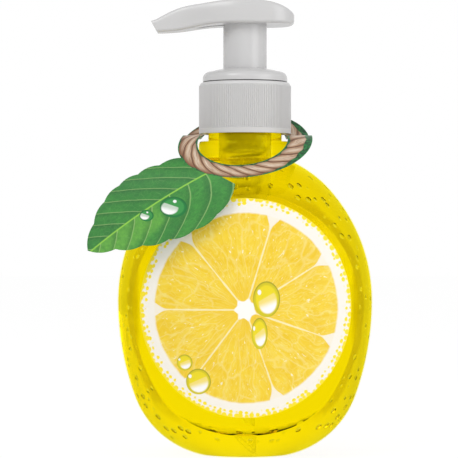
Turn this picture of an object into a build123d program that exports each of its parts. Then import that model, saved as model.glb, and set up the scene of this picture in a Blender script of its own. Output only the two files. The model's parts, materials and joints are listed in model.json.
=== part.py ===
"""A lemon-shaped liquid soap bottle with a screw-on lotion pump and a hanging card tag.

Millimetres. +Z is up and the bottle stands on z = 0, on its own axis. The label faces -Y and
the pump nozzle points along -X. Every step file holds one physical piece, in its resting place.
"""
import math
import os

from build123d import *

# Clearances
GAP = 0.3               # between pieces that move against each other
FIT = 0.02              # round a tube pushed into its socket
PLAY = 0.8              # between the tag and what it passes

# Bottle: arcs of a lemon's outline, each tangent to the next
WIDE_R = 45.7           # largest radius of the lemon
WIDE_Z = 1.2 * WIDE_R   # height of that largest radius
UPPER_R = 1.313 * WIDE_R
CROWN_R = 0.919 * WIDE_R
SHOULDER_R = 0.42 * WIDE_R          # a point that the crown passes through
SHOULDER_Z = WIDE_Z + 1.068 * WIDE_R
FLANK_R = 2.188 * WIDE_R
CORNER_R = 0.722 * WIDE_R
FOOT_R = 0.372 * WIDE_R             # outer radius of the contact ring
DOME_R = FOOT_R - 2.5               # inner radius of the contact ring
DOME_RISE = 0.55 * DOME_R           # height of the push-up under the base
WALL = 1.0
PANEL_DEPTH = 0.708 * WIDE_R        # from the axis to the middle of each panel
PANEL_R = 1.97 * WIDE_R             # curvature of each panel, about an upright axis
PANEL_EDGE = 1.2                    # rounding where a panel meets the peel
NECK_R = 13.4
STEP_R = NECK_R + 3.4               # wide foot of the neck, under the tag
STEP_EDGE = 1.3                     # rounding of its top
FLARE_R = 1.5                       # hollow arc between crown and step
BEAD_R = 0.35                       # half-round rings on the step
BORE_R = 10.8
FINISH_R = NECK_R - 0.7             # the part of the neck inside the closure

# Heights up the neck
CLOSURE_Z = SHOULDER_Z + 10.8
CLOSURE_H = 18.4
CLOSURE_TOP = CLOSURE_Z + CLOSURE_H
STEP_Z = CLOSURE_Z - 2.6
FILL_Z = CLOSURE_Z + GAP            # level of the soap, just inside the closure

# Label
LABEL_R = 0.829 * WIDE_R
LABEL_Z = 1.164 * WIDE_R
LABEL_T = 0.15

# Closure
CLOSURE_R = 16.5
CLOSURE_BORE = NECK_R + 0.8
RIBS = 144
RIB_DEPTH = 0.28
BAND = 1.8              # plain band under the ribs
WEB = 1.5               # thickness of the closure's top
TOP_EDGE = 1.2

# Pump body
FLANGE_T = 1.1
GASKET_T = 1.0
RIM_Z = CLOSURE_TOP - WEB - FLANGE_T - GASKET_T
FINISH_Z = CLOSURE_Z - 0.8
CUP_R = BORE_R - 0.6
CUP_BORE = CUP_R - 1.0
CUP_H = 16.7
CUP_TOP = CLOSURE_TOP + 0.1
CUP_FLOOR = CUP_TOP - CUP_H         # top face of the cup's floor
CUP_FLOOR_T = 1.2
CHAMBER_BORE = 5.9
CHAMBER_R = CHAMBER_BORE + 1.0
CHAMBER_H = 34.2
CHAMBER_Z = CUP_FLOOR - CHAMBER_H   # floor of the pump chamber
INLET_BALL_R = 2.25
POCKET_R = INLET_BALL_R + 0.5       # ball pocket under the chamber
POCKET_H = 6.0
SEAT_R = INLET_BALL_R - 0.75
TUBE_R = 3.0
TUBE_BORE = TUBE_R - 1.0
TUBE_Z = DOME_RISE + WALL + 2.0     # lowest point of the dip tube
SOCKET_R = TUBE_R + 1.4
SOCKET_H = 10.0
CAGE_T = 2.6

# Lock ring
DOME_RING_R = CLOSURE_R - 1.35
DOME_RING_H = 3.8
DOME_RING_EDGE = 2.4
DOME_TOP_Z = CLOSURE_TOP + 4.8
BARREL_BORE = CUP_BORE - 1.1
BARREL_FLOOR = CUP_FLOOR + 1.8
BARREL_FLOOR_T = 1.2

# Plunger
TRAVEL = 13.0
STEM_R = 3.8
STEM_BORE = STEM_R / 2
COLLAR_R = CHAMBER_BORE - 0.7
COLLAR_T = 2.0
FOOT_STEM_R = STEM_R - 1.1
PISTON_L = 8.0
PISTON_TOP = BARREL_FLOOR - 3 * GAP - COLLAR_T
OUTLET_BALL_R = STEM_R - 1.6
WIRE_R = 0.4
SPRING_R = 0.7 * CHAMBER_BORE
TURNS = 8

# Head
HEAD_Z = DOME_TOP_Z + TRAVEL + 2.8  # underside of the head
HEAD_H = 9.1
HEAD_BACK = 17.6                    # from the axis to the heel
HEAD_HALF = 11.6                    # half-width beside the stem
SPOUT_REACH = 34.5                  # from the axis to the nozzle's lip
TIP_HALF = 3.9
SPOUT_BORE = 1.7
SLEEVE_R = BARREL_BORE - GAP
SLEEVE_BORE = SLEEVE_R - 1.4
SLEEVE_Z = HEAD_Z - TRAVEL - 6.0
STEM_TOP = HEAD_Z - 3.2
STEM_GRIP = 9.0                     # length of stem held in the head

# Neck tag, seen from the front: a ring with a leaf hanging from it
TAG_T = 0.6
TAG_STEPS = 18                      # spline points along the bend
RING_Z = CLOSURE_Z - 3.9
RING_HALF_X = NECK_R + 10.2
RING_HALF_Z = 12.3
RING_ROLL = 6.2                     # degrees, right side up
HOLE_X = -0.9
HOLE_Z = RING_Z + 0.7
HOLE_HALF_X = NECK_R + 2.5
HOLE_HALF_Z = 8.7
LEAF_BASE = (-NECK_R - 0.1, CLOSURE_Z - 15.0)
LEAF_RUN = (-40.7, -26.5)           # from the leaf's base to its tip
LEAF_UPPER = 12.9                   # greatest width above the midrib
LEAF_LOWER = 14.4                   # and below it
TEETH = 6


def ring(r_in, r_out, z0, z1):
    """A plain tube about the axis."""
    tube = Pos(0, 0, z0) * Cylinder(r_out, z1 - z0, align=(Align.CENTER, Align.CENTER, Align.MIN))
    if r_in > 0:
        tube -= Pos(0, 0, z0) * Cylinder(r_in, z1 - z0, align=(Align.CENTER, Align.CENTER, Align.MIN))
    return tube


def spun_points(*points):
    """Revolve a closed polygon of (radius, height) points."""
    return revolve(Plane.XZ * make_face(Polyline(*points, close=True)), Axis.Z)


def touching(centre, big_r, point, small_r, turn_sign):
    """Centre of an arc that passes through point and touches a larger arc from inside."""
    sx, sz = centre
    px, pz = point
    span = math.hypot(px - sx, pz - sz)
    far = big_r - small_r
    turn = math.acos((small_r ** 2 + span ** 2 - far ** 2) / (2 * small_r * span))
    toward = math.atan2(sz - pz, sx - px) + turn_sign * turn
    return px + small_r * math.cos(toward), pz + small_r * math.sin(toward)


def on_arc(centre, r, angle):
    return centre[0] + r * math.cos(angle), centre[1] + r * math.sin(angle)


def arc(centre, r, a0, a1):
    return ThreePointArc(
        on_arc(centre, r, a0), on_arc(centre, r, (a0 + a1) / 2), on_arc(centre, r, a1)
    )


def heading(start, end):
    return math.atan2(end[1] - start[1], end[0] - start[0])


def lemon(inset, neck_r, top_z):
    """The round lemon, before its panels are cut, drawn inset by a wall thickness."""
    flare_r = FLARE_R + inset
    step_r = STEP_R - inset
    step_z = STEP_Z - inset
    edge = STEP_EDGE - inset
    flank = (WIDE_R - FLANK_R, WIDE_Z)
    corner = touching(flank, FLANK_R, (FOOT_R, 0), CORNER_R, -1)
    upper = (WIDE_R - UPPER_R, WIDE_Z)
    crown = touching(upper, UPPER_R, (SHOULDER_R, SHOULDER_Z), CROWN_R, 1)
    flare_x = step_r + flare_r
    flare = (flare_x, crown[1] + math.sqrt((CROWN_R - inset + flare_r) ** 2 - (flare_x - crown[0]) ** 2))
    dome_arc = (DOME_R ** 2 + DOME_RISE ** 2) / (2 * DOME_RISE)
    dome = (0, DOME_RISE - dome_arc)
    foot_x = corner[0] + math.sqrt((CORNER_R - inset) ** 2 - (corner[1] - inset) ** 2)
    dome_x = math.sqrt((dome_arc + inset) ** 2 - (inset - dome[1]) ** 2)
    to_corner = heading(flank, corner)
    to_crown = heading(upper, crown)
    to_flare = heading(crown, flare)
    outline = [
        arc(dome, dome_arc + inset, math.pi / 2, heading(dome, (dome_x, inset))),
        Line((dome_x, inset), (foot_x, inset)),
        arc(corner, CORNER_R - inset, heading(corner, (foot_x, inset)), to_corner),
        arc(flank, FLANK_R - inset, to_corner, 0),
        arc(upper, UPPER_R - inset, 0, to_crown),
        arc(crown, CROWN_R - inset, to_crown, to_flare),
        arc(flare, flare_r, to_flare + math.pi, math.pi),
        Line((step_r, flare[1]), (step_r, step_z - edge)),
        arc((step_r - edge, step_z - edge), edge, 0, math.pi / 2),
        Line((step_r - edge, step_z), (neck_r, step_z)),
        Line((neck_r, step_z), (neck_r, top_z)),
        Line((neck_r, top_z), (0, top_z)),
        Line((0, top_z), (0, DOME_RISE + inset)),
    ]
    return revolve(Plane.XZ * make_face(outline), Axis.Z)


def between_panels(inset):
    """Everything between the two gently curved panels."""
    tall = RIM_Z + 20
    block = Box(3 * WIDE_R, 3 * WIDE_R, tall, align=(Align.CENTER, Align.CENTER, Align.MIN))
    kept = block
    for side in (-1, 1):
        drum = Pos(0, -side * (PANEL_R - PANEL_DEPTH), 0) * Cylinder(
            PANEL_R - inset, tall, align=(Align.CENTER, Align.CENTER, Align.MIN)
        )
        kept &= drum
    return kept


def make_bottle():
    outer = lemon(0, NECK_R, FINISH_Z) & between_panels(0)
    rim = [e for e in outer.edges() if abs(e.center().Y) > 20]
    outer = fillet(rim, PANEL_EDGE)
    outer += ring(0, FINISH_R, FINISH_Z, RIM_Z)
    for down in (1.2 * STEP_EDGE, 4 * STEP_EDGE):
        bead = Plane.XZ * (Pos(STEP_R, STEP_Z - down) * Circle(BEAD_R))
        outer += revolve(bead, Axis.Z)
    inner = lemon(WALL, BORE_R, RIM_Z) & between_panels(WALL)
    return outer - inner


def make_soap():
    soap = lemon(WALL, BORE_R, RIM_Z) & between_panels(WALL)
    soap &= ring(0, 2 * WIDE_R, 0, FILL_Z)
    soap -= ring(0, TUBE_R + GAP, TUBE_Z - GAP, FILL_Z)
    soap -= ring(0, SOCKET_R + GAP, socket_top() - SOCKET_H - GAP, FILL_Z)
    soap -= ring(0, CHAMBER_R + GAP, socket_top() - GAP, FILL_Z)
    return soap


def make_label():
    """A round label: its outline is narrower from the front, because it wraps the panel."""
    axis_y = PANEL_R - PANEL_DEPTH
    wrapped = PANEL_R * math.sin(LABEL_R / PANEL_R)
    disc = Pos(0, 0, LABEL_Z) * (Plane.XZ * Ellipse(wrapped, LABEL_R))
    label = extrude(disc, 2 * WIDE_R)
    tall = 4 * LABEL_R
    label &= Pos(0, axis_y, LABEL_Z) * Cylinder(PANEL_R + LABEL_T, tall)
    return label - Pos(0, axis_y, LABEL_Z) * Cylinder(PANEL_R, tall)


def leaf_edge(upper):
    """Points along one edge of the leaf, in the front view, from its base to its tip."""
    bx, bz = LEAF_BASE
    length = math.hypot(*LEAF_RUN)
    ux, uz = LEAF_RUN[0] / length, LEAF_RUN[1] / length
    if upper:
        nx, nz = uz, -ux
        start, peak, back, ahead, power, wide = 0.06, 0.53, 0.80, 0.47, 2.0, LEAF_UPPER
    else:
        nx, nz = -uz, ux
        start, peak, back, ahead, power, wide = -0.13, 0.18, 0.52, 0.82, 1.7, LEAF_LOWER
    points = []
    for i in range(TEETH + 1):
        t = start + (1 - start) * (i / TEETH) ** 0.9
        reach = (peak - t) / back if t < peak else (t - peak) / ahead
        w = wide * (1 - reach ** power)
        points.append((bx + ux * length * t + nx * w, bz + uz * length * t + nz * w))
    return points


def leaf_face():
    """The serrated leaf in the front view."""
    upper, lower = leaf_edge(True), leaf_edge(False)
    edges = []
    for side, bulge in ((upper, 1), (lower, -1)):
        for (x0, z0), (x1, z1) in zip(side, side[1:]):
            chord = math.hypot(x1 - x0, z1 - z0)
            mx, mz = 0.4 * x0 + 0.6 * x1, 0.4 * z0 + 0.6 * z1
            rise = 0.10 * chord * bulge
            mx += rise * (z1 - z0) / chord
            mz -= rise * (x1 - x0) / chord
            edges.append(Spline((x0, z0), (mx, mz), (x1, z1)))
    edges.append(Line(upper[0], lower[0]))
    return Plane.XZ * make_face(edges)


def tag_bend():
    """The card from the side: behind the closure, across the neck's step, down past the panel."""
    hang = PANEL_DEPTH + LABEL_T + 2.6
    slot_z = (CLOSURE_Z + STEP_Z) / 2
    return Spline(
        (CLOSURE_R + 8.7, CLOSURE_Z + 10.4),
        (CLOSURE_R + PLAY, CLOSURE_Z + 5.4),
        (0.667 * CLOSURE_R, CLOSURE_Z - 0.5),
        (0.24 * CLOSURE_R, slot_z),
        (-0.48 * CLOSURE_R, slot_z - 0.1),
        (-STEP_R, STEP_Z + PLAY),
        (-(STEP_R + hang) / 2, STEP_Z - 4.6),
        (PLAY * 2.6 - hang, STEP_Z - 12.4),
        (-hang, STEP_Z - 22.0),
        (-hang, LEAF_BASE[1] + LEAF_RUN[1] - 4.0),
    )


def make_tag():
    """A printed card cut to a ring and a leaf, and bent to hang over the shoulder."""
    run = tag_bend()
    skins = []
    for side in (-1, 1):
        points = []
        for i in range(TAG_STEPS + 1):
            t = i / TAG_STEPS
            slope = run % t
            shift = side * TAG_T / 2
            points.append(((run @ t).X - shift * slope.Y, (run @ t).Y + shift * slope.X))
        skins.append(Spline(*points))
    ends = [Line(skins[0] @ end, skins[1] @ end) for end in (0, 1)]
    card = extrude(Plane.YZ * make_face(skins + ends), 2 * WIDE_R, both=True)
    ring_face = Pos(0, 0, RING_Z) * Rot(0, -RING_ROLL, 0) * (Plane.XZ * Ellipse(RING_HALF_X, RING_HALF_Z))
    hole = Plane.XZ * Ellipse(HOLE_HALF_X, HOLE_HALF_Z)
    hole_face = Pos(HOLE_X, 0, HOLE_Z) * Rot(0, -RING_ROLL, 0) * hole
    outline = extrude(ring_face + leaf_face(), 3 * WIDE_R, both=True)
    outline -= extrude(hole_face, 3 * WIDE_R, both=True)
    return card & outline


def make_closure():
    core_r = CLOSURE_R - RIB_DEPTH
    core = ring(0, core_r, CLOSURE_Z, CLOSURE_TOP)
    core = fillet(core.edges().group_by(Axis.Z)[-1], TOP_EDGE)
    core += ring(0, CLOSURE_R, CLOSURE_Z, CLOSURE_Z + BAND)
    step = 2 * math.pi / RIBS
    outline = []
    for i in range(RIBS):
        for share, r in ((0.0, CLOSURE_R), (0.3, CLOSURE_R), (0.5, core_r), (0.8, core_r)):
            a = step * (i + share)
            outline.append((r * math.cos(a), r * math.sin(a)))
    ribbed = extrude(make_face(Polyline(*outline, close=True)), CLOSURE_TOP - TOP_EDGE - CLOSURE_Z - BAND)
    ribbed -= Cylinder(core_r - 0.6, 100)
    closure = core + Pos(0, 0, CLOSURE_Z + BAND) * ribbed
    closure -= ring(0, CLOSURE_BORE, CLOSURE_Z, CLOSURE_TOP - WEB)
    closure -= ring(0, CUP_R + 2 * GAP, CLOSURE_Z, CLOSURE_TOP)
    return closure


def make_gasket():
    return ring(BORE_R + GAP, NECK_R, RIM_Z, RIM_Z + GASKET_T)


def pocket_floor():
    return CHAMBER_Z - POCKET_H


def socket_top():
    """Underside of the inlet seat, where the dip tube stops."""
    return pocket_floor() - POCKET_R + SEAT_R - 1.0


def make_housing():
    body = ring(0, NECK_R, RIM_Z + GASKET_T, CLOSURE_TOP - WEB)
    body += ring(0, CUP_R, CUP_FLOOR - CUP_FLOOR_T, CUP_TOP)
    body += ring(0, CHAMBER_R, CHAMBER_Z - 1.2, CUP_FLOOR)
    body += spun_points(
        (0, socket_top()), (SOCKET_R, socket_top()), (CHAMBER_R, CHAMBER_Z - 1.2), (0, CHAMBER_Z - 1.2),
    )
    body += ring(0, SOCKET_R, socket_top() - SOCKET_H, socket_top())
    body -= ring(0, CUP_BORE, CUP_FLOOR, CUP_TOP)
    body -= ring(0, CHAMBER_BORE, CHAMBER_Z, CUP_FLOOR)
    floor = pocket_floor()
    body -= ring(0, POCKET_R, floor, CHAMBER_Z)
    body -= spun_points(
        (0, floor - POCKET_R + SEAT_R), (SEAT_R, floor - POCKET_R + SEAT_R), (POCKET_R, floor), (0, floor),
    )
    body -= ring(0, SEAT_R, socket_top(), floor)
    body -= ring(0, TUBE_R + FIT, socket_top() - SOCKET_H, socket_top())
    return body


def make_dip_tube():
    """The tube is cut at an angle so that it can't seal against the base."""
    tube = ring(TUBE_BORE, TUBE_R, TUBE_Z, socket_top())
    block = Box(8 * TUBE_R, 8 * TUBE_R, 4 * TUBE_R, align=(Align.CENTER, Align.CENTER, Align.MAX))
    return tube - Pos(0, 0, TUBE_Z + TUBE_R * math.tan(math.radians(35))) * Rot(0, 35, 0) * block


def inlet_ball_z():
    return pocket_floor() - POCKET_R + INLET_BALL_R * math.sqrt(2)


def make_inlet_ball():
    return Pos(0, 0, inlet_ball_z()) * Sphere(INLET_BALL_R)


def make_cage():
    cage = ring(1.2, CHAMBER_BORE - GAP, CHAMBER_Z, CHAMBER_Z + CAGE_T)
    cage -= ring(0, POCKET_R, CHAMBER_Z, CHAMBER_Z + CAGE_T / 2)
    for spot in PolarLocations(2.4, 4):
        cage -= spot * Pos(0, 0, CHAMBER_Z) * Cylinder(0.7, 2 * CAGE_T)
    return cage


def make_piston():
    z1 = PISTON_TOP
    z0 = z1 - PISTON_L
    lip, waist = CHAMBER_BORE - GAP, CHAMBER_BORE - 1.1
    return spun_points(
        (FOOT_STEM_R + GAP, z0), (waist, z0), (lip, z0 + 0.6), (lip, z0 + 1.4), (waist, z0 + 2.6),
        (waist, z1 - 2.6), (lip, z1 - 1.4), (lip, z1 - 0.6), (waist, z1), (FOOT_STEM_R + GAP, z1),
    )


def make_spring():
    z0 = CHAMBER_Z + CAGE_T + WIRE_R
    z1 = PISTON_TOP - PISTON_L - WIRE_R
    coil = Helix(pitch=(z1 - z0) / TURNS, height=z1 - z0, radius=SPRING_R)
    start = Plane(origin=coil @ 0, z_dir=coil % 0)
    return Pos(0, 0, z0) * sweep(start * Circle(WIRE_R), path=coil, is_frenet=True)


def outlet_seat():
    return STEM_TOP - 2 * OUTLET_BALL_R - 1.6


def make_stem():
    z1 = PISTON_TOP
    seat_z = outlet_seat()
    bowl = OUTLET_BALL_R + GAP
    stem = ring(0, STEM_R, z1 + GAP, STEM_TOP)
    stem += ring(0, COLLAR_R, z1 + GAP, z1 + GAP + COLLAR_T)
    stem += ring(0, FOOT_STEM_R, z1 - PISTON_L + GAP, z1 + GAP)
    stem -= ring(0, STEM_BORE, z1 - PISTON_L, STEM_TOP)
    stem -= spun_points(
        (0, seat_z), (STEM_BORE - 0.2, seat_z - 0.2), (bowl, seat_z + bowl - STEM_BORE),
        (bowl, STEM_TOP), (0, STEM_TOP),
    )
    return stem


def make_outlet_ball():
    z = outlet_seat() + OUTLET_BALL_R * math.sqrt(2) - STEM_BORE + 0.02
    return Pos(0, 0, z) * Sphere(OUTLET_BALL_R)


def make_lock_ring():
    hub_z = CLOSURE_TOP + GAP
    edge = DOME_RING_EDGE
    wall = 1.2
    edge_z = CLOSURE_TOP + DOME_RING_H
    barrel_r = CUP_BORE
    floor = BARREL_FLOOR
    skin = [
        Line((DOME_RING_R, hub_z), (DOME_RING_R, edge_z - edge)),
        ThreePointArc(
            (DOME_RING_R, edge_z - edge),
            (DOME_RING_R - edge * (1 - math.sqrt(0.5)), edge_z - edge * (1 - math.sqrt(0.5))),
            (DOME_RING_R - edge, edge_z),
        ),
        Line((DOME_RING_R - edge, edge_z), (BARREL_BORE + 0.5, DOME_TOP_Z)),
        Line((BARREL_BORE + 0.5, DOME_TOP_Z), (BARREL_BORE, DOME_TOP_Z - 0.5)),
        Line((BARREL_BORE, DOME_TOP_Z - 0.5), (BARREL_BORE, floor + BARREL_FLOOR_T)),
        Line((BARREL_BORE, floor + BARREL_FLOOR_T), (STEM_R + GAP, floor + BARREL_FLOOR_T)),
        Line((STEM_R + GAP, floor + BARREL_FLOOR_T), (STEM_R + GAP, floor)),
        Line((STEM_R + GAP, floor), (barrel_r, floor)),
        Line((barrel_r, floor), (barrel_r, CUP_TOP)),
        Line((barrel_r, CUP_TOP), (CUP_R, CUP_TOP)),
        Line((CUP_R, CUP_TOP), (CUP_R, edge_z - wall)),
        Line((CUP_R, edge_z - wall), (DOME_RING_R - edge, edge_z - wall)),
        Line((DOME_RING_R - edge, edge_z - wall), (DOME_RING_R - wall, edge_z - edge)),
        Line((DOME_RING_R - wall, edge_z - edge), (DOME_RING_R - wall, hub_z)),
        Line((DOME_RING_R - wall, hub_z), (DOME_RING_R, hub_z)),
    ]
    return revolve(Plane.XZ * make_face(skin), Axis.Z)


def head_section(x, half, low, high):
    """Across the head: flat below, upright flanks, and a crown that runs smoothly into them."""
    flank = low + 0.3 * (high - low)
    haunch = low + 0.86 * (high - low)
    crown = Spline(
        (half, flank), (0.72 * half, haunch), (0, high), (-0.72 * half, haunch), (-half, flank),
        tangents=((0, 1), (0, -1)),
    )
    edges = [
        crown,
        Line((-half, flank), (-half, low)),
        Line((-half, low), (half, low)),
        Line((half, low), (half, flank)),
    ]
    return Plane(origin=(x, 0, 0), x_dir=(0, 1, 0), z_dir=(1, 0, 0)) * make_face(edges)


def head_block():
    """The hand-shaped top, lofted from nozzle to heel through sections square to its length."""
    def at(share, half, low, high):
        return head_section(share, half * HEAD_HALF, HEAD_Z + low * HEAD_H, HEAD_Z + high * HEAD_H)

    tip = TIP_HALF / HEAD_HALF
    block = loft([
        at(-SPOUT_REACH, tip - 0.02, -0.33, 0.20),
        at(-0.754 * SPOUT_REACH, tip + 0.09, -0.27, 0.58),
        at(-0.493 * SPOUT_REACH, 0.64, -0.12, 0.84),
        at(-0.232 * SPOUT_REACH, 0.90, 0.0, 0.96),
        at(0.057 * HEAD_BACK, 1.0, 0.0, 1.0),
        at(0.455 * HEAD_BACK, 0.98, 0.0, 0.92),
        at(0.767 * HEAD_BACK, 0.83, 0.0, 0.73),
        at(0.943 * HEAD_BACK, 0.55, 0.02, 0.51),
        at(HEAD_BACK, 0.25, 0.13, 0.38),
    ])
    underside = block.edges().filter_by(lambda e: e.length > HEAD_BACK).sort_by(Axis.Z)[:2]
    block = fillet(underside, 0.09 * HEAD_HALF)
    lip = Plane(
        origin=(3 - SPOUT_REACH, 0, HEAD_Z - 0.26 * HEAD_H), x_dir=(0, 1, 0), z_dir=(0.87, 0, 0.49)
    )
    return split(block, bisect_by=lip, keep=Keep.TOP)


def make_head():
    head = head_block()
    head += ring(0, SLEEVE_R, SLEEVE_Z, HEAD_Z + 0.1 * HEAD_H)
    head -= ring(0, SLEEVE_BORE, SLEEVE_Z, HEAD_Z - 1)
    head += ring(STEM_R, STEM_R + 1.3, STEM_TOP - STEM_GRIP, HEAD_Z)
    head -= ring(0, STEM_R + FIT, STEM_TOP - STEM_GRIP, STEM_TOP)
    head -= ring(0, OUTLET_BALL_R, STEM_TOP, HEAD_Z + 0.28 * HEAD_H)
    spout = Plane(origin=(-SPOUT_REACH, 0, HEAD_Z - 0.05 * HEAD_H), z_dir=(SPOUT_REACH, 0, 0.22 * HEAD_H))
    head -= extrude(spout * Circle(SPOUT_BORE), SPOUT_REACH)
    return head


PIECES = {
    "bottle": make_bottle,
    "soap_fill": make_soap,
    "front_label": make_label,
    "neck_tag": make_tag,
    "closure": make_closure,
    "gasket": make_gasket,
    "pump_housing": make_housing,
    "lock_ring": make_lock_ring,
    "dip_tube": make_dip_tube,
    "inlet_ball": make_inlet_ball,
    "ball_cage": make_cage,
    "spring": make_spring,
    "piston": make_piston,
    "stem": make_stem,
    "outlet_ball": make_outlet_ball,
    "pump_head": make_head,
}

os.makedirs("parts", exist_ok=True)
for name, make in PIECES.items():
    solid = make()
    export_step(solid, f"parts/{name}.step")
    box = solid.bounding_box()
    print(name, "volume", round(solid.volume, 1), "box", box.min, box.max)
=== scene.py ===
"""Dresses the lemon soap bottle: clear bottle, yellow soap, printed label and tag, white pump."""
import json
import math

import bpy
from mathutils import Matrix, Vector


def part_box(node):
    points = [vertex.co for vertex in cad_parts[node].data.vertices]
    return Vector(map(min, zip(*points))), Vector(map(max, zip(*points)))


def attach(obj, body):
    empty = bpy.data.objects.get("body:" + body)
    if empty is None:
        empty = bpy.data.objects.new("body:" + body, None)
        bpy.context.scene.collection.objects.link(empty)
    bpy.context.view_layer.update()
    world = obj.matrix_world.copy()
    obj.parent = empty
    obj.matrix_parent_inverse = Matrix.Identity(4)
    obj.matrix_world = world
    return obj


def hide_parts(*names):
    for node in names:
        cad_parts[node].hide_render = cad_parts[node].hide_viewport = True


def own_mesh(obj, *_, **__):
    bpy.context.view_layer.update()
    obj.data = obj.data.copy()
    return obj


MM = 0.001
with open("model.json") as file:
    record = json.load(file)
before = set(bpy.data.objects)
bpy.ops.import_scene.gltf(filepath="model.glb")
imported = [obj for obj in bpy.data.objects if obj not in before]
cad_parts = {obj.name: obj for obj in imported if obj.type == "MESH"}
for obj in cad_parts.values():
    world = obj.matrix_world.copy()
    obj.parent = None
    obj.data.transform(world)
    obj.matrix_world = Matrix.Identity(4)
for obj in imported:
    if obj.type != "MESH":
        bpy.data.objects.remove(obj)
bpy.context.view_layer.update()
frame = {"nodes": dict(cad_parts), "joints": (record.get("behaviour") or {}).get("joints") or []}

# Sizes of the bottle, in millimetres, as in the CAD
WIDE_R = 45.7
WIDE_Z = 1.2 * WIDE_R
UPPER_R = 1.313 * WIDE_R
CROWN_R = 0.919 * WIDE_R
SHOULDER_R = 0.42 * WIDE_R
SHOULDER_Z = WIDE_Z + 1.068 * WIDE_R
FLANK_R = 2.188 * WIDE_R
CORNER_R = 0.722 * WIDE_R
FOOT_R = 0.372 * WIDE_R
DOME_R = FOOT_R - 2.5
DOME_RISE = 0.55 * DOME_R
PANEL_DEPTH = 0.708 * WIDE_R
PANEL_R = 1.97 * WIDE_R
LABEL_Z = 1.164 * WIDE_R
CLOSURE_Z = SHOULDER_Z + 10.8
NECK_R = 13.4
STEP_R = NECK_R + 3.4
STEP_Z = CLOSURE_Z - 2.6
STEP_EDGE = 1.3
FLARE_R = 1.5
FILL_Z = CLOSURE_Z + 0.3
RING_Z = CLOSURE_Z - 3.9
RING_HALF_X = NECK_R + 10.2
RING_HALF_Z = 12.3
RING_ROLL = math.radians(6.2)   # right side up
HOLE_SHIFT = (-0.9, 0.7)        # from the ring's middle
HOLE_HALF_X = NECK_R + 2.5
HOLE_HALF_Z = 8.7
SOAP_INSET = 0.3                # of the drawn soap, from the outer skin
CREASE_SOFT = 1.4               # bevel where panels and peel meet in the soap
WORLD_LIGHT = 0.55              # of the room on matt surfaces, where 1 is white
CAMERA_AT = (-5.74, -800.0, 80.4)
CAMERA_LENS = 175.3


class Wire:
    """A socket whose value can be used in sums."""

    def __init__(self, paint, socket):
        self.paint = paint
        self.socket = socket

    def __add__(self, other):
        return self.paint.math("ADD", self, other)

    __radd__ = __add__

    def __sub__(self, other):
        return self.paint.math("SUBTRACT", self, other)

    def __rsub__(self, other):
        return self.paint.math("SUBTRACT", other, self)

    def __mul__(self, other):
        return self.paint.math("MULTIPLY", self, other)

    __rmul__ = __mul__

    def __truediv__(self, other):
        return self.paint.math("DIVIDE", self, other)

    def __rtruediv__(self, other):
        return self.paint.math("DIVIDE", other, self)

    def __pow__(self, other):
        return self.paint.math("POWER", self, other)

    def __abs__(self):
        return self.paint.math("ABSOLUTE", self)


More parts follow.
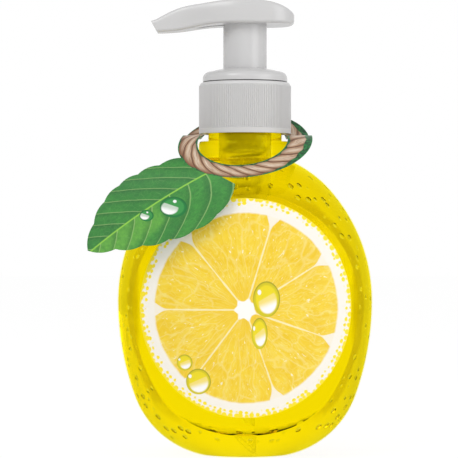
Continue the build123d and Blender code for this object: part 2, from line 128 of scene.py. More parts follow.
class Paint:
    """One material, or the world, and its nodes."""

    def __init__(self, name, world=False):
        self.material = (bpy.data.worlds if world else bpy.data.materials).new(name)
        self.material.use_nodes = True
        self.tree = self.material.node_tree
        self.tree.nodes.clear()
        self.out = self.node("ShaderNodeOutputWorld" if world else "ShaderNodeOutputMaterial")
        coords = self.node("ShaderNodeTexCoord")
        self.place = Wire(self, coords.outputs["Generated" if world else "Object"])
        self.facing = Wire(self, coords.outputs["Normal"])
        split = self.node("ShaderNodeSeparateXYZ", sockets={0: self.place})
        unit = 1.0 if world else 1 / MM
        self.x = Wire(self, split.outputs[0]) * unit
        self.y = Wire(self, split.outputs[1]) * unit
        self.z = Wire(self, split.outputs[2]) * unit

    def node(self, kind, settings=None, sockets=None):
        made = self.tree.nodes.new(kind)
        for key, value in (settings or {}).items():
            setattr(made, key, value)
        for key, value in (sockets or {}).items():
            if isinstance(value, Wire):
                self.tree.links.new(value.socket, made.inputs[key])
            else:
                made.inputs[key].default_value = value
        return made

    def math(self, operation, *values):
        made = self.node("ShaderNodeMath", {"operation": operation}, dict(enumerate(values)))
        return Wire(self, made.outputs[0])

    def least(self, *values):
        found = values[0]
        for value in values[1:]:
            found = self.math("MINIMUM", found, value)
        return found

    def most(self, *values):
        found = values[0]
        for value in values[1:]:
            found = self.math("MAXIMUM", found, value)
        return found

    def length(self, a, b):
        return self.math("SQRT", a * a + b * b)

    def rise(self, value, low, high):
        """0 below low, 1 above high, and a soft step between."""
        made = self.node(
            "ShaderNodeMapRange", {"interpolation_type": "SMOOTHSTEP"},
            {"Value": value, "From Min": low, "From Max": high, "To Min": 0.0, "To Max": 1.0},
        )
        return Wire(self, made.outputs[0])

    def fall(self, value, low, high):
        return 1 - self.rise(value, low, high)

    def vector(self, x, y, z):
        made = self.node("ShaderNodeCombineXYZ", sockets={0: x, 1: y, 2: z})
        return Wire(self, made.outputs[0])

    def dot(self, first, second):
        made = self.node("ShaderNodeVectorMath", {"operation": "DOT_PRODUCT"}, {0: first, 1: second})
        return Wire(self, made.outputs["Value"])

    def noise(self, vector, scale, detail=2.0, rough=0.5, twist=0.0):
        made = self.node(
            "ShaderNodeTexNoise", {"noise_dimensions": "3D"},
            {"Vector": vector, "Scale": scale, "Detail": detail, "Roughness": rough, "Distortion": twist},
        )
        return Wire(self, made.outputs["Fac"])

    def cells(self, vector, scale, feature="F1", random=1.0):
        made = self.node(
            "ShaderNodeTexVoronoi", {"feature": feature},
            {"Vector": vector, "Scale": scale, "Randomness": random},
        )
        return Wire(self, made.outputs["Distance"])

    def mix(self, share, first, second):
        made = self.node(
            "ShaderNodeMix", {"data_type": "RGBA"},
            {0: share, 6: self.colour(first), 7: self.colour(second)},
        )
        return Wire(self, made.outputs[2])

    @staticmethod
    def colour(value):
        return value if isinstance(value, Wire) else (*value, 1.0)

    def bump(self, height, strength, distance):
        made = self.node(
            "ShaderNodeBump", sockets={"Height": height, "Strength": strength, "Distance": distance}
        )
        return Wire(self, made.outputs[0])

    def principled(self, **sockets):
        names = {
            "colour": "Base Color", "rough": "Roughness", "metal": "Metallic", "normal": "Normal",
            "ior": "IOR", "clear": "Transmission Weight", "coat": "Coat Weight",
            "coat_rough": "Coat Roughness",
        }
        values = {}
        for key, value in sockets.items():
            values[names[key]] = self.colour(value) if key == "colour" else value
        return self.node("ShaderNodeBsdfPrincipled", sockets=values)

    def mix_shaders(self, share, first, second):
        mixed = self.node("ShaderNodeMixShader", sockets={0: share})
        self.tree.links.new(first.outputs[0], mixed.inputs[1])
        self.tree.links.new(second.outputs[0], mixed.inputs[2])
        return mixed

    def finish(self, shader):
        self.tree.links.new(shader.outputs[0], self.out.inputs["Surface"])
        return self.material


def rgb(red, green, blue):
    """A colour given as it looks on a screen, from 0 to 255."""
    def straight(level):
        level /= 255
        return level / 12.92 if level <= 0.04045 else ((level + 0.055) / 1.055) ** 2.4
    return straight(red), straight(green), straight(blue)


# Print of the round label

MEMBRANES = (72.5, 31.4, -18.6, -70.0, -127.8, 180.0, 129.8)


def droplet(paint, u, v, drop, colours):
    """One printed drop of water: dark edge, body, a pale pool low on one side and a small glint."""
    at, half, glint_at, pool_at, pool_size = drop
    edge, rim, body, pool = colours
    a = (u - at[0]) / half[0]
    b = (v - at[1]) / half[1]
    reach = paint.length(a, b)
    shape = paint.fall(reach, 0.96, 1.0)
    shade = paint.mix(paint.rise(reach, 0.70, 0.84), body, rim)
    shade = paint.mix(paint.rise(reach, 0.86, 0.97) * paint.rise(a * 0.6 + b, -1.2, 0.2), shade, edge)
    pooled = paint.length(a - pool_at[0], b - pool_at[1])
    low = paint.fall(pooled, pool_size, pool_size + 0.14) * paint.rise(a * 0.44 + 0.17 - b, 0.0, 0.09)
    shade = paint.mix(low * 0.9, shade, pool)
    shade = paint.mix(low * paint.rise(a * 0.3 - b, 0.05, 0.55), shade, (1, 1, 1))
    glint = paint.fall(paint.length((a - glint_at[0]) * 1.1, b - glint_at[1]), 0.10, 0.18)
    return shape, paint.mix(glint, shade, (1, 1, 1))


def with_droplets(paint, colour, u, v, drops, colours):
    for drop in drops:
        shape, shade = droplet(paint, u, v, drop, colours)
        colour = paint.mix(shape, colour, shade)
    return colour


def vesicles(paint, turn, spoke, waver, fine):
    """Pale skins of the juice cells that run out from the core."""
    along = spoke * (0.06 * fine) + waver * 1.1
    across = turn * (3.1 * fine) + waver * (0.9 * fine)
    cell = paint.cells(paint.vector(across, along, fine), 1.6, "DISTANCE_TO_EDGE")
    return paint.fall(cell, 0.0, 0.075)


def label_print():
    paint = Paint("label_print")
    u = (paint.x - 0.2) * (1 / 0.9705)
    v = paint.z - LABEL_Z
    reach = paint.length(u, v)
    su = u + 0.3
    sv = v + 0.65
    turn = paint.math("ARCTAN2", sv, su)
    spoke = paint.length(su, sv)
    waver = paint.noise(paint.place, 320.0, 3.0) - 0.5
    slow = paint.noise(paint.place, 95.0, 2.0) - 0.5

    # Membranes between the seven segments
    gap = None
    for degrees in MEMBRANES:
        c = math.cos(math.radians(degrees))
        s = math.sin(math.radians(degrees))
        off = abs(su * s - sv * c) + paint.fall(su * c + sv * s, -0.5, 0.5) * 60.0
        if gap is None:
            gap = off
        else:
            gap = paint.node("ShaderNodeMath", {"operation": "SMOOTH_MIN"}, {0: gap, 1: off, 2: 2.6})
            gap = Wire(paint, gap.outputs[0])
    gap = gap + waver * 0.35 + slow * 0.5
    swell = paint.rise(reach, 25.0, 33.6) ** 3.0
    membrane = paint.fall(gap - swell * 2.3, 0.08, 0.45)
    halo = paint.fall(gap - swell * 2.0, 0.4, 3.2)

    # Pulp
    patches = paint.noise(paint.place, 150.0, 3.0, 0.6)
    wander = turn + slow * 0.22
    near = vesicles(paint, turn, spoke, slow, 1.0)
    far = vesicles(paint, turn, spoke, slow, 2.1)
    bands = paint.noise(paint.vector(wander * 9.0, spoke * 0.07, 0.0), 2.0, 3.0, 0.6, 0.8)
    streaks = paint.noise(paint.vector(wander * 24.0, spoke * 0.36, 7.0), 1.5, 2.0, 0.55, 0.6)
    flecks = paint.noise(paint.vector(wander * 15.0, spoke * 0.30, 3.0), 1.6, 2.0, 0.5, 0.4)
    pulp = paint.mix(paint.rise(patches, 0.32, 0.68), rgb(243, 203, 24), rgb(249, 214, 46))
    pulp = paint.mix(paint.rise(bands, 0.45, 0.70) * 0.5, pulp, rgb(248, 221, 96))
    pulp = paint.mix(paint.fall(bands, 0.34, 0.46) * 0.4, pulp, rgb(243, 200, 18))
    pulp = paint.mix(far * 0.13, pulp, rgb(253, 240, 160))
    pulp = paint.mix(near * 0.26, pulp, rgb(254, 243, 176))
    pulp = paint.mix(paint.rise(streaks, 0.55, 0.68) * 0.5, pulp, rgb(251, 233, 132))
    pulp = paint.mix(paint.fall(spoke, 3.0, 14.0) * 0.45, pulp, rgb(242, 199, 26))
    pulp = paint.mix(halo * 0.3, pulp, rgb(244, 203, 30))
    pulp = paint.mix(paint.rise(flecks, 0.67, 0.73) * 0.85, pulp, rgb(255, 250, 214))

    # Pith, core and the outer fringe of oil cells
    white = rgb(251, 246, 236)
    skin = paint.mix(paint.rise(reach, 26.5, 31.0), rgb(254, 244, 192), white)
    slice_colour = paint.mix(membrane * 0.88, pulp, skin)
    pith_edge = paint.rise(reach + waver * 0.6 + slow * 0.5, 32.3, 33.2)
    slice_colour = paint.mix(pith_edge, slice_colour, white)
    core = paint.fall(spoke - paint.fall(gap, 0.2, 1.6) * 1.5 + waver, 2.0, 2.9)
    slice_colour = paint.mix(core, slice_colour, rgb(255, 254, 248))
    row = (37.75 - reach) * (1 / 1.9)
    scatter = paint.noise(paint.vector(turn * 9.0, 0.0, 5.0), 2.0, 1.0)
    bead = paint.cells(paint.vector(turn * (116 / (2 * math.pi)), row, 0.0), 1.0, random=0.42)
    size = 0.56 + (scatter - 0.5) * 0.3 - paint.rise(row, 0.8, 1.6) * 0.5
    dots = paint.rise(size - bead, 0.0, 0.17) * paint.fall(row, 1.8, 2.0)
    edge = paint.rise(reach + waver * 1.3, 37.3, 37.7)
    colour = paint.mix(paint.most(dots, edge), slice_colour, rgb(255, 231, 26))

    drops = (
        ((7.2, 3.0), (4.9, 6.3), (-0.52, 0.38), (0.08, -0.12), 0.58),
        ((4.7, -8.8), (2.9, 5.5), (-0.66, 0.32), (0.08, -0.12), 0.58),
        ((-21.9, -18.9), (2.85, 2.8), (-0.66, 0.36), (0.08, -0.12), 0.58),
        ((-17.0, -25.4), (4.5, 4.5), (-0.66, 0.40), (0.02, -0.06), 0.68),
    )
    colours = (rgb(158, 152, 22), rgb(214, 200, 8), rgb(240, 220, 10), rgb(250, 228, 130))
    colour = with_droplets(paint, colour, u, v, drops, colours)
    return paint.finish(paint.principled(
        colour=colour, rough=0.40 + waver * 0.08, coat=0.08, coat_rough=0.15,
        normal=paint.bump(waver * 0.2 + near * 0.1, 0.12, 0.0002),
    ))


# Print of the card tag

LEAF_BASE = (-NECK_R - 0.1, CLOSURE_Z - 15.0)
LEAF_RUN = (-40.7, -26.5)
LEAF_L = math.hypot(*LEAF_RUN)
LEAF_U = (LEAF_RUN[0] / LEAF_L, LEAF_RUN[1] / LEAF_L)
VEIN_STEP = 7.2


def side_veins(paint, lean, waver):
    """Thin ribs, and the swell of the leaf between them."""
    beat = paint.math("FRACT", (lean + waver * 0.7) * (1 / VEIN_STEP) + 4.0)
    rib = paint.fall(abs(beat - 0.5) * VEIN_STEP, 0.10, 0.34)
    shadow = paint.rise(beat, 0.50, 0.53) * paint.fall(beat, 0.55, 0.95)
    return rib, shadow


def leaf_colour(paint):
    along = (paint.x - LEAF_BASE[0]) * LEAF_U[0] + (paint.z - LEAF_BASE[1]) * LEAF_U[1]
    across = (paint.x - LEAF_BASE[0]) * LEAF_U[1] - (paint.z - LEAF_BASE[1]) * LEAF_U[0]
    bow = across + along * along * 0.0022 - along * 0.09
    side = abs(bow)
    upper = paint.rise(bow, -0.05, 0.05)
    waver = paint.noise(paint.place, 260.0, 3.0) - 0.5
    fine = paint.noise(paint.place, 900.0, 2.0) - 0.5
    square = side * side
    upper_rib, upper_dark = side_veins(paint, along - side * 1.45 - square * 0.02, waver)
    lean = along + 3.4 - side * (along * 0.022 - 0.05) - square * 0.045
    lower_rib, lower_dark = side_veins(paint, lean, waver)
    rib = upper_rib * upper + lower_rib * (1 - upper)
    dark = upper_dark * upper + lower_dark * (1 - upper)
    mid_rib = paint.fall(side, 0.10, 0.38)

    mottled = paint.noise(paint.place, 150.0, 3.0, 0.6)
    net = paint.cells(paint.vector(along, bow * 1.4 + waver, 0.0), 0.55, "DISTANCE_TO_EDGE")
    pucker = paint.noise(paint.vector(along * 0.6, bow * 2.2, 0.0), 0.8, 3.0, 0.6, 0.6)
    green = paint.mix(paint.rise(mottled, 0.3, 0.7), rgb(46, 128, 50), rgb(66, 154, 58))
    green = paint.mix(paint.rise(pucker, 0.45, 0.75) * 0.5, green, rgb(32, 98, 42))
    green = paint.mix(upper * 0.3, green, rgb(34, 110, 48))
    lit_tip = paint.rise(along, 17.0, 24.0) * (1 - upper) * paint.fall(side - waver * 3.0, 6.0, 9.5)
    green = paint.mix(lit_tip * 0.7, green, rgb(112, 184, 66))
    green = paint.mix(dark * 0.45, green, rgb(26, 82, 36))
    green = paint.mix(paint.fall(net, 0.0, 0.045) * 0.28, green, rgb(112, 170, 90))
    green = paint.mix(fine + 0.2, green, rgb(38, 110, 42))
    green = paint.mix(rib * 0.55, green, rgb(158, 196, 120))
    green = paint.mix(mid_rib * 0.9, green, rgb(144, 206, 70))
    drops = (
        ((24.8, 87.9), (4.75, 3.65), (-0.10, 0.54), (0.26, -0.06), 0.54),
        ((34.0, 85.0), (2.5, 2.0), (-0.10, 0.54), (0.24, -0.06), 0.54),
    )
    colours = (rgb(0, 96, 38), rgb(0, 116, 48), rgb(48, 146, 66), rgb(206, 218, 204))
    green = with_droplets(paint, green, paint.x * -1.0, paint.z, drops, colours)
    return green, rib + mid_rib - dark * 0.5


def card_run(paint):
    """How far along the bent card a point is, from the neck's axis towards the back."""
    y = paint.y
    z = paint.z
    flat = paint.least(paint.most(y, -STEP_R), 10.0)
    ahead = paint.length(paint.least(y + STEP_R, 0.0), paint.least(z - STEP_Z - 0.8, 0.0))
    behind = paint.length(paint.most(y - 10.0, 0.0), paint.most(z - STEP_Z - 1.8, 0.0))
    near = paint.rise(y, -4.0, 4.0)
    return flat - ahead * (1 - near) + behind * near


def rolled(x, z):
    """A place beside the neck, along the long and the short axis of the tilted ring."""
    c = math.cos(RING_ROLL)
    s = math.sin(RING_ROLL)
    return x * c + z * s, z * c - x * s


def rope_colour(paint):
    """A three-strand twist that follows the ring, with a green edge on both sides."""
    x = paint.x
    z = paint.z - RING_Z
    rx, rz = rolled(x, z)
    outer = paint.length(rx * (1 / RING_HALF_X), rz * (1 / RING_HALF_Z))
    sx, sz = rolled(x - HOLE_SHIFT[0], z - HOLE_SHIFT[1])
    inner = paint.length(sx * (1 / HOLE_HALF_X), sz * (1 / HOLE_HALF_Z))
    lead = paint.most(inner - 1.0, 0.0)
    room = paint.most(1.0 - outer, 0.0)
    share = lead / (lead + room * 1.35 + 0.001)

    run = card_run(paint) + 7.1
    turn = paint.math("ARCTAN2", run * (1 / 30.9), rx * (1 / 19.7))
    travel = turn * 25.6 + paint.math("SINE", turn * 2.0) * 2.85
    strands = 29
    uneven = paint.noise(paint.place, 130.0, 1.0) - 0.5
    lay = travel * (strands / (25.6 * 2 * math.pi)) + share * -1.9 + uneven * 0.6
    beat = paint.math("FRACT", lay + 40.0)
    groove = paint.fall(paint.least(beat, (1 - beat) * 1.5), 0.03, 0.20)
    lit = paint.rise(beat, 0.12, 0.45) * paint.fall(beat, 0.5, 0.95)
    body = 1.0 - abs(share - 0.46) * 2.0
    roundness = paint.rise(body, 0.02, 0.75)
    fibre = paint.noise(paint.vector(lay * 7.0, travel * 0.16, 0.0), 1.5, 3.0, 0.65, 0.3)
    colour = paint.mix(roundness, rgb(128, 84, 54), rgb(182, 144, 110))
    colour = paint.mix(lit * roundness * 0.9, colour, rgb(218, 196, 172))
    colour = paint.mix(paint.rise(fibre, 0.5, 0.64) * 0.6, colour, rgb(134, 88, 56))
    colour = paint.mix(paint.fall(fibre, 0.34, 0.45) * 0.6 * roundness, colour, rgb(238, 226, 212))
    colour = paint.mix(groove * 0.85, colour, rgb(94, 54, 30))
    bulge = lit * 0.05
    outer_edge = 0.93 - paint.rise(paint.x, 6.0, 20.0) * 0.2 + bulge
    inner_edge = 0.10 - bulge
    rope = paint.rise(share - inner_edge, 0.0, 0.03) * paint.rise(outer_edge - share, 0.0, 0.03)
    on_ring = paint.rise(inner, 0.98, 1.0) * paint.fall(outer, 0.99, 1.005)
    return colour, rope * on_ring, on_ring, roundness * (1 - groove)


def tag_print():
    paint = Paint("tag_card")
    leaf, ribs = leaf_colour(paint)
    rope, rope_mask, ring_mask, twist = rope_colour(paint)
    speckle = paint.noise(paint.place, 1100.0, 2.0)
    margin = paint.mix(paint.rise(speckle, 0.4, 0.62), rgb(14, 66, 34), rgb(28, 122, 58))
    colour = paint.mix(ring_mask, leaf, margin)
    colour = paint.mix(rope_mask, colour, rope)
    relief = twist * rope_mask + ribs * (1 - ring_mask) * 0.2 + speckle * 0.05
    return paint.finish(paint.principled(
        colour=colour, rough=0.42 + speckle * 0.1, normal=paint.bump(relief, 0.3, 0.0004),
        coat=0.1, coat_rough=0.2,
    ))


# Moulded and metal finishes

def moulded(name, colour, rough, grain):
    """White plastic: faint flow clouds in its gloss and a fine grain."""
    paint = Paint(name)
    cloud = paint.noise(paint.place, 60.0, 2.0)
    fine = paint.noise(paint.place, 2600.0, 2.0)
    warm = tuple(0.965 * level for level in colour)
    return paint.finish(paint.principled(
        colour=paint.mix(cloud, warm, colour), rough=rough + (cloud - 0.5) * 0.12 + fine * 0.05,
        normal=paint.bump(fine, grain, 0.00006),
    ))


def lit_through(paint, shader, tint):
    """The shader, with the lamps' light let through it in a tint, so that what lies behind it is lit."""
    path = paint.node("ShaderNodeLightPath")
    sheer = paint.node("ShaderNodeBsdfTransparent", sockets={"Color": tint})
    return paint.mix_shaders(Wire(paint, path.outputs["Is Shadow Ray"]), shader, sheer)


def cloudy(name, colour):
    """Natural plastic under the soap: it bends light little there, and blurs what lies behind."""
    paint = Paint(name)
    cloud = paint.noise(paint.place, 140.0, 2.0)
    plastic = paint.principled(
        colour=paint.mix(cloud, colour, tuple(0.97 * level for level in colour)), rough=0.6 + cloud * 0.1,
        clear=1.0, ior=1.14,
    )
    return paint.finish(lit_through(paint, plastic, (0.9, 0.9, 0.89, 1)))


def plain_plastic(name, colour):
    """Opaque plastic of the pump's inner parts, faintly uneven."""
    paint = Paint(name)
    cloud = paint.noise(paint.place, 140.0, 2.0)
    return paint.finish(paint.principled(
        colour=paint.mix(cloud, colour, tuple(0.96 * level for level in colour)), rough=0.5 + cloud * 0.1,
    ))


def steel(name, rough):
    paint = Paint(name)
    drawn = paint.noise(paint.vector(paint.x * 0.2, paint.y * 0.2, paint.z * 2.0), 4.0, 3.0)
    return paint.finish(paint.principled(
        colour=paint.mix(drawn, (0.50, 0.49, 0.48), (0.64, 0.63, 0.62)), metal=1.0, rough=rough + drawn * 0.1
    ))


def foam(name):
    paint = Paint(name)
    pores = paint.cells(paint.place, 2400.0)
    return paint.finish(paint.principled(
        colour=paint.mix(pores, (0.72, 0.72, 0.70), (0.86, 0.86, 0.84)), rough=0.85,
        normal=paint.bump(pores, 0.4, 0.0001),
    ))


# Bottle and soap

def panel_gap(paint):
    """How far the surface lies behind the curved faces that cut the lemon front and back."""
    face = paint.math("SQRT", PANEL_R * PANEL_R - paint.x * paint.x) - (PANEL_R - PANEL_DEPTH)
    return face - abs(paint.y)


def pits(paint):
    """1 at the bottom of each pit, 0 on the peel between them."""
    around = paint.math("ARCTAN2", paint.y, paint.x) * (24 / math.pi)
    up = (paint.z - 52.0) * (1 / 3.5)
    drift = paint.noise(paint.place, 40.0) - 0.5
    cell = paint.cells(paint.vector(around + drift * 0.6, up, 0.0), 1.0, random=0.5)
    tall = paint.rise(paint.z, 4.0, 10.0) * paint.fall(paint.z, 96.0, 104.0)
    return paint.fall(cell, 0.15, 0.33) * tall * paint.rise(panel_gap(paint), 0.7, 1.6)


def clear_bottle():
    """A thin clear wall: what is behind shows straight through it, under a glossy outer skin."""
    paint = Paint("bottle_clear")
    waver = paint.noise(paint.place, 45.0, 2.0)
    normal = paint.bump(waver * 0.25 - pits(paint), 0.9, 0.0008)
    gloss = paint.node(
        "ShaderNodeBsdfGlossy", sockets={"Color": (1.0, 0.92, 0.08, 1), "Roughness": 0.05, "Normal": normal}
    )
    sheer = paint.node("ShaderNodeBsdfTransparent", sockets={"Color": (1, 1, 1, 1)})
    fresnel = paint.node("ShaderNodeFresnel", sockets={"IOR": 1.45, "Normal": normal})
    side = paint.node("ShaderNodeNewGeometry")
    outward = 1 - Wire(paint, side.outputs["Backfacing"])
    from_middle = paint.vector(paint.x, paint.y, paint.z - 60.0)
    outer_skin = paint.math("GREATER_THAN", paint.dot(from_middle, paint.facing), 0.0)
    share = Wire(paint, fresnel.outputs[0]) * outward * outer_skin * 0.5
    return paint.finish(paint.mix_shaders(share, sheer, gloss))


def tinted_glass(paint, tint, normal):
    """The soap in one tint, bent and ruffled as the skin of the bottle is."""
    return paint.node(
        "ShaderNodeBsdfGlass", sockets={"Color": (*tint, 1), "Roughness": 0.02, "IOR": 1.36, "Normal": normal}
    )


def soap_liquid():
    """Yellow soap with painted shade: darker in a band beside the flat panels and on the panels towards their top,
    standing in for light that the soap bends away; the pits have painted shade outside the band and painted
    highlights inside it.
    """
    paint = Paint("soap")
    hollow = pits(paint)
    gap = panel_gap(paint)
    waver = paint.noise(paint.place, 38.0, 2.0)
    blotch = paint.noise(paint.place, 130.0, 3.0, 0.6) - 0.5
    # Painted shade: a darker band of soap just behind the edge of each panel, fading out low and high, and also
    # near the side edges (margin).
    height = paint.rise(paint.z + blotch * 12.0, 10.0, 24.0) * paint.fall(paint.z, 86.0, 100.0)
    painted_shade_band = paint.rise(gap, 0.3, 0.9) * paint.fall(gap + blotch * 5.0, 2.6, 4.8) * height
    margin = paint.rise(abs(paint.x), 36.4, 38.4) * paint.fall(abs(paint.z - 56.0), 22.0, 36.0)
    painted_shade_band = paint.most(painted_shade_band, margin * paint.fall(gap, 0.5, 1.2))
    # Painted shade: the soap seen through the panels is painted darker towards the top of the panels.
    panel = paint.fall(gap, 0.4, 1.2) * paint.rise(paint.z, 55.0, 98.0) * paint.fall(paint.z, 98.0, 103.0)
    normal = paint.bump(waver * 0.35 - hollow, 0.9, 0.0008)
    liquid = tinted_glass(paint, (0.998, 0.884, 0.0), normal)
    for share, tint in (
        (waver, (0.990, 0.860, 0.0)),
        # Painted shade on the panels.
        (panel, (0.91, 0.76, 0.0)),
        # Painted shade in the band beside the panels.
        (painted_shade_band * (0.9 + blotch), (0.74, 0.60, 0.0)),
        # Painted shade on the pits outside the band, and painted highlights on the pits inside it, in place of
        # their refracted light.
        (hollow * (1 - painted_shade_band) * 0.85, (0.66, 0.58, 0.0)),
        (hollow * painted_shade_band * 0.9, (1.0, 0.92, 0.0)),
    ):
        liquid = paint.mix_shaders(share, liquid, tinted_glass(paint, tint, normal))
    return paint.finish(lit_through(paint, liquid, (1.0, 0.93, 0.3, 1)))


# Modelling

def alone(obj):
    for other in bpy.context.selected_objects:
        other.select_set(False)
    obj.select_set(True)
    bpy.context.view_layer.objects.active = obj


def touching(centre, big_r, point, small_r, turn_sign):
    """Centre of an arc that passes through point and touches a larger arc from inside."""
    span = math.dist(centre, point)
    turn = math.acos((small_r ** 2 + span ** 2 - (big_r - small_r) ** 2) / (2 * small_r * span))
    toward = heading(point, centre) + turn_sign * turn
    return point[0] + small_r * math.cos(toward), point[1] + small_r * math.sin(toward)


def heading(start, end):
    return math.atan2(end[1] - start[1], end[0] - start[0])


def sweep(centre, r, a0, a1, steps):
    angles = [a0 + (a1 - a0) * i / steps for i in range(steps + 1)]
    return [(centre[0] + r * math.cos(a), centre[1] + r * math.sin(a)) for a in angles]


def lemon_outline(inset):
    """Half of the lemon's outline as the CAD draws it, from the push-up to the soap's surface."""
    flank = (WIDE_R - FLANK_R, WIDE_Z)
    corner = touching(flank, FLANK_R, (FOOT_R, 0), CORNER_R, -1)
    upper = (WIDE_R - UPPER_R, WIDE_Z)
    crown = touching(upper, UPPER_R, (SHOULDER_R, SHOULDER_Z), CROWN_R, 1)
    dome_arc = (DOME_R ** 2 + DOME_RISE ** 2) / (2 * DOME_RISE)
    dome = (0, DOME_RISE - dome_arc)
    foot_x = corner[0] + math.sqrt((CORNER_R - inset) ** 2 - (corner[1] - inset) ** 2)
    dome_x = math.sqrt((dome_arc + inset) ** 2 - (inset - dome[1]) ** 2)
    flare_r = FLARE_R + inset
    flare_x = STEP_R - inset + flare_r
    flare = (flare_x, crown[1] + math.sqrt((CROWN_R - inset + flare_r) ** 2 - (flare_x - crown[0]) ** 2))
    points = sweep(dome, dome_arc + inset, math.pi / 2, heading(dome, (dome_x, inset)), 8)
    points += sweep(corner, CORNER_R - inset, heading(corner, (foot_x, inset)), heading(flank, corner), 16)
    points += sweep(flank, FLANK_R - inset, heading(flank, corner), 0, 14)[1:]
    points += sweep(upper, UPPER_R - inset, 0, heading(upper, crown), 18)[1:]
    points += sweep(crown, CROWN_R - inset, heading(upper, crown), heading(crown, flare), 12)[1:]
    points += sweep(flare, flare_r, heading(crown, flare) + math.pi, math.pi, 4)[1:]
    points.append((STEP_R - inset, STEP_Z - STEP_EDGE))
    points.append((STEP_R - inset - 0.25, STEP_Z - inset))
    points.append((NECK_R - inset, STEP_Z - inset))
    points.append((NECK_R - inset, FILL_Z))
    points.append((0, FILL_Z))
    return points


def traced(name, points):
    """A line of edges in the XZ plane, drawn from its first point by extruding."""
    x, z = points[0]
    bpy.ops.mesh.primitive_plane_add(size=MM, location=(x * MM, 0, z * MM))
    obj = bpy.context.object
    obj.name = name
    alone(obj)
    bpy.ops.object.transform_apply(location=True, rotation=True, scale=True)
    bpy.ops.object.mode_set(mode="EDIT")
    bpy.ops.mesh.select_all(action="SELECT")
    bpy.ops.mesh.merge(type="CENTER")
    for (x0, z0), (x1, z1) in zip(points, points[1:]):
        bpy.ops.mesh.extrude_region_move(
            TRANSFORM_OT_translate={"value": ((x1 - x0) * MM, 0, (z1 - z0) * MM)}
        )
    return obj


def spun(name, points, steps=144):
    """A solid of revolution about the axis."""
    obj = traced(name, points)
    bpy.ops.mesh.select_all(action="SELECT")
    bpy.ops.mesh.spin(steps=steps, angle=2 * math.pi, center=(0, 0, 0), axis=(0, 0, 1))
    bpy.ops.mesh.select_all(action="SELECT")
    bpy.ops.mesh.remove_doubles(threshold=1e-6)
    bpy.ops.mesh.select_all(action="SELECT")
    bpy.ops.mesh.normals_make_consistent(inside=False)
    bpy.ops.object.mode_set(mode="OBJECT")
    return obj


def cut_panels(obj, inset):
    """Slices the front and back off along upright cylinders."""
    for side in (-1, 1):
        bpy.ops.mesh.primitive_cylinder_add(
            vertices=720, radius=(PANEL_R - inset) * MM, depth=0.3,
            location=(0, -side * (PANEL_R - PANEL_DEPTH) * MM, 0.08),
        )
        drum = bpy.context.object
        alone(obj)
        cut = obj.modifiers.new("panel", "BOOLEAN")
        cut.operation = "INTERSECT"
        cut.solver = "EXACT"
        cut.object = drum
        bpy.ops.object.modifier_apply(modifier=cut.name)
        bpy.data.objects.remove(drum)


def soap_body():
    """The soap as it shows: out to near the skin, so that its colour reaches the silhouette."""
    soap = spun("soap_body", lemon_outline(SOAP_INSET))
    cut_panels(soap, SOAP_INSET)
    alone(soap)
    bevel = soap.modifiers.new("soft_crease", "BEVEL")
    bevel.width = CREASE_SOFT * MM
    bevel.segments = 3
    bevel.limit_method = "ANGLE"
    bevel.angle_limit = math.radians(18)
    bpy.ops.object.modifier_apply(modifier=bevel.name)
    bpy.ops.object.shade_smooth_by_angle(angle=math.radians(40))
    soap.data.materials.clear()
    soap.data.materials.append(soap_liquid())
    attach(soap, "bottle")
    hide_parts("soap_fill")


def shorten_spring():
    """Gives the spring a mesh of its own; the pump's stroke and the spring's lower end are worked out and passed
    on, but nothing closes the spring up by them.
    """
    foot, top = (corner[2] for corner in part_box("spring"))
    stroke = next(joint["range_m"][1] for joint in frame["joints"] if joint["name"] == "pump_press")
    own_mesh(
        frame["nodes"]["spring"], "pump_press", axis=(0, 0, 1), anchor=(0, 0, foot), keep=1 - stroke / (top - foot)
    )


def dress(node, material):
    """Puts the material on all of a CAD node."""
    mesh = frame["nodes"][node].data
    if not mesh.materials:
        mesh.materials.append(material)
    for i in range(len(mesh.materials)):
        mesh.materials[i] = material


def dress_all():
    satin = moulded("pump_white", (0.655, 0.65, 0.65), 0.42, 0.25)
    glossy = moulded("pump_white_gloss", (0.61, 0.605, 0.605), 0.22, 0.08)
    natural = cloudy("pump_natural", (0.97, 0.97, 0.95))
    dress("bottle", clear_bottle())
    dress("front_label", label_print())
    dress("neck_tag", tag_print())
    dress("closure", satin)
    dress("stem", plain_plastic("stem_white", (0.86, 0.86, 0.87)))
    dress("lock_ring", glossy)
    dress("pump_head", glossy)
    dress("gasket", foam("gasket_foam"))
    dress("pump_housing", natural)
    dress("ball_cage", natural)
    dress("dip_tube", cloudy("tube_natural", (0.97, 0.97, 0.96)))
    dress("inlet_ball", steel("valve_steel", 0.12))
    dress("outlet_ball", steel("outlet_steel", 0.12))
    dress("spring", steel("spring_steel", 0.25))
    dress("piston", plain_plastic("piston_soft", (0.90, 0.90, 0.90)))


# Studio

def room_light(paint):
    """Level of the white room round the object: full along both axes, dimmer towards the corners."""
    share = paint.x * paint.x / (paint.x * paint.x + paint.y * paint.y + 0.0001)
    corner = share * (1 - share) * 4.0
    return 1 - corner * corner * 0.26


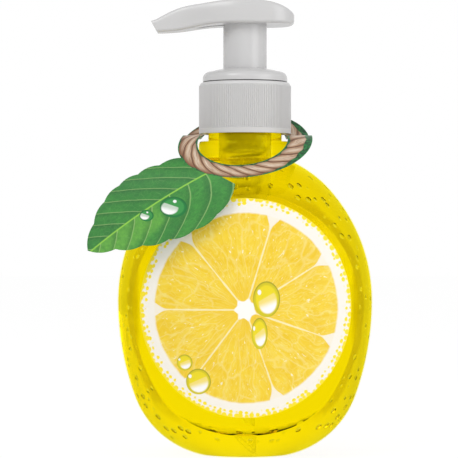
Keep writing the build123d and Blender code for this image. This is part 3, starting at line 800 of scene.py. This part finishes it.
def studio_world():
    """White to the camera; in the soap and in gloss a white room with dimmer corners and ceiling."""
    sky = Paint("studio", world=True)
    bpy.context.scene.world = sky.material
    room = room_light(sky) * (1 - sky.rise(sky.z, 0.3, 0.8) * 0.25)
    path = sky.node("ShaderNodeLightPath")
    camera_ray = Wire(sky, path.outputs["Is Camera Ray"])
    mirrored = sky.most(Wire(sky, path.outputs["Is Glossy Ray"]), Wire(sky, path.outputs["Is Transmission Ray"]))
    level = sky.most(camera_ray, mirrored * room, (1 - mirrored) * WORLD_LIGHT)
    back = sky.node("ShaderNodeBackground", sockets={"Color": (1, 1, 1, 1), "Strength": level})
    sky.finish(back)


def floor():
    """A pale floor that reads as white and keeps the bottle's shadow."""
    bpy.ops.mesh.primitive_plane_add(size=6, location=(0, 0, 0))
    ground = bpy.context.object
    ground.name = "studio_floor"
    paint = Paint("studio_floor")
    path = paint.node("ShaderNodeLightPath")
    camera_ray = Wire(paint, path.outputs["Is Camera Ray"])
    mirrored = paint.most(*(Wire(paint, path.outputs[kind]) for kind in ("Is Glossy Ray", "Is Transmission Ray")))
    level = paint.most(camera_ray * 1.08, room_light(paint))
    matt = paint.node("ShaderNodeBsdfDiffuse", sockets={"Color": (0.9, 0.9, 0.9, 1)})
    white = paint.node("ShaderNodeEmission", sockets={"Color": (1, 1, 1, 1), "Strength": level})
    ground.data.materials.append(paint.finish(
        paint.mix_shaders(paint.most(camera_ray, mirrored) * 0.85, matt, white)
    ))


def lamp(name, at, size, power, target=(0, 0, 0.08)):
    data = bpy.data.lights.new(name, "AREA")
    data.energy = power
    data.size = size
    obj = bpy.data.objects.new(name, data)
    bpy.context.scene.collection.objects.link(obj)
    obj.location = at
    obj.rotation_euler = (Vector(target) - Vector(at)).to_track_quat("-Z", "Y").to_euler()


def camera():
    data = bpy.data.cameras.new("camera")
    data.sensor_width = 36
    data.lens = CAMERA_LENS
    data.clip_end = 20
    obj = bpy.data.objects.new("camera", data)
    obj.location = Vector(CAMERA_AT) * MM
    obj.rotation_euler = (math.pi / 2, 0, 0)
    bpy.context.scene.collection.objects.link(obj)
    bpy.context.scene.camera = obj


camera()
studio_world()
floor()
lamp("key", (-0.5, -0.7, 0.75), 0.5, 3.8)
lamp("fill", (0.7, -0.5, 0.35), 0.6, 2.6)
bpy.context.scene.view_settings.view_transform = "Standard"
dress_all()
soap_body()
shorten_spring()
